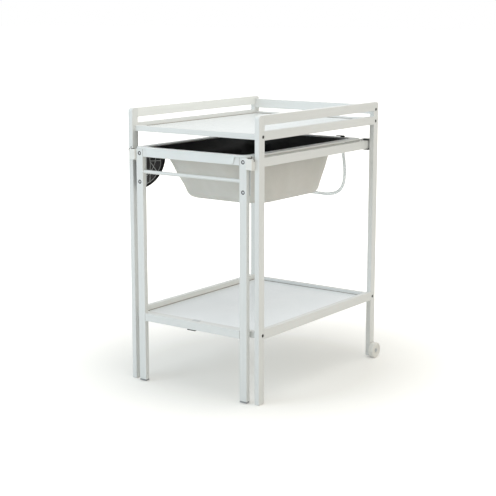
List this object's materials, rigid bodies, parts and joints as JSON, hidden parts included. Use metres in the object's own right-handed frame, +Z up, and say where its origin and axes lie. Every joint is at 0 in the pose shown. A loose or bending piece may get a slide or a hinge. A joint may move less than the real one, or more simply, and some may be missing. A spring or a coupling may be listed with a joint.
{
  "type": "changing table with bathtub",
  "caption": "White wooden changing table with guard rails and a lower shelf, and a bathtub under the top on a carriage that slides out to the front.",
  "frame": {"origin": "on the floor, under the middle of the bounding box", "axes": "+X across the table to the user's right, +Y from the front with the carriage's legs to the rear with the wheels, +Z up"},
  "size_m": [0.613, 0.8054, 0.99],
  "materials": {
    "white_lacquer": "satin white lacquer on beech or fibreboard",
    "panel_laminate": "satin white laminate on board",
    "white_plastic": "matte white moulded plastic",
    "tub_plastic": "white moulded plastic, soft gloss",
    "black_liner": "black moulded plastic, satin",
    "black_plastic": "matte black moulded plastic",
    "grey_plastic": "matte grey moulded plastic",
    "dark_rubber": "soft dark grey rubber",
    "clear_hose": "milky flexible hose",
    "pocket_fabric": "black fabric with a woven binding",
    "zinc_steel": "zinc-plated steel",
    "dark_steel": "dark plated steel",
    "beech": "plain beech dowel"
  },
  "bodies": {
    "table": {"front_left_post": "white_lacquer", "front_right_post": "white_lacquer", "rear_right_post": "white_lacquer", "rear_left_post": "white_lacquer", "left_guard_rail": "white_lacquer", "right_guard_rail": "white_lacquer", "rear_guard_rail": "white_lacquer", "left_top_rail": "white_lacquer", "right_top_rail": "white_lacquer", "front_apron": "white_lacquer", "rear_top_rail": "white_lacquer", "changing_panel": "panel_laminate", "left_shelf_rail": "white_lacquer", "right_shelf_rail": "white_lacquer", "front_shelf_rail": "white_lacquer", "rear_shelf_rail": "white_lacquer", "shelf_panel": "panel_laminate", "frame_bolts": "dark_steel", "barrel_nuts": "zinc_steel", "frame_dowels": "beech", "rail_guides": "white_plastic", "guide_screws": "zinc_steel", "rear_rests": "black_plastic", "rest_screws": "zinc_steel", "post_glides": "white_plastic", "wheel_axles": "dark_steel", "catch_keeper": "zinc_steel"},
    "rear_wheel_left": {"left_wheel": "white_plastic"},
    "rear_wheel_right": {"right_wheel": "white_plastic"},
    "tub_carriage": {"left_leg": "white_lacquer", "right_leg": "white_lacquer", "left_side_rail": "white_lacquer", "right_side_rail": "white_lacquer", "front_rail": "white_lacquer", "rear_cross_rail": "white_lacquer", "towel_rod": "white_lacquer", "leg_stretcher": "white_lacquer", "leg_bolts": "zinc_steel", "leg_nuts": "zinc_steel", "leg_brackets": "zinc_steel", "bracket_screws": "zinc_steel", "carriage_dowels": "beech", "rail_end_caps": "white_plastic", "catch_clip": "black_plastic", "roller_forks": "grey_plastic", "roller_pins": "zinc_steel", "stop_pegs": "beech", "side_pocket": "pocket_fabric", "pocket_studs": "zinc_steel"},
    "carriage_roller_left": {"left_roller": "white_plastic"},
    "carriage_roller_right": {"right_roller": "white_plastic"},
    "tub": {"tub_shell": "tub_plastic", "tub_liner": "black_liner", "drain_fitting": "black_plastic", "drain_hose": "clear_hose", "hose_collar": "dark_rubber", "hose_plug": "dark_rubber"}
  },
  "joints": [
    {"name": "carriage_slide", "type": "slide", "parent": "table", "child": "tub_carriage", "axis": [0, -1, 0], "range_m": [0, 0.62]},
    {"name": "tub_lift", "type": "slide", "parent": "tub_carriage", "child": "tub", "axis": [0, 0, 1], "range_m": [0, 0.04]},
    {"name": "left_wheel_turn", "type": "hinge", "parent": "table", "child": "rear_wheel_left", "pos_m": [-0.2965, 0.37275, 0.03], "axis": [1, 0, 0], "continuous": true},
    {"name": "right_wheel_turn", "type": "hinge", "parent": "table", "child": "rear_wheel_right", "pos_m": [0.2965, 0.37275, 0.03], "axis": [1, 0, 0], "continuous": true},
    {"name": "left_roller_turn", "type": "hinge", "parent": "tub_carriage", "child": "carriage_roller_left", "pos_m": [-0.226, -0.38575, 0.006], "axis": [1, 0, 0], "continuous": true},
    {"name": "right_roller_turn", "type": "hinge", "parent": "tub_carriage", "child": "carriage_roller_right", "pos_m": [0.226, -0.38575, 0.006], "axis": [1, 0, 0], "continuous": true}
  ]
}
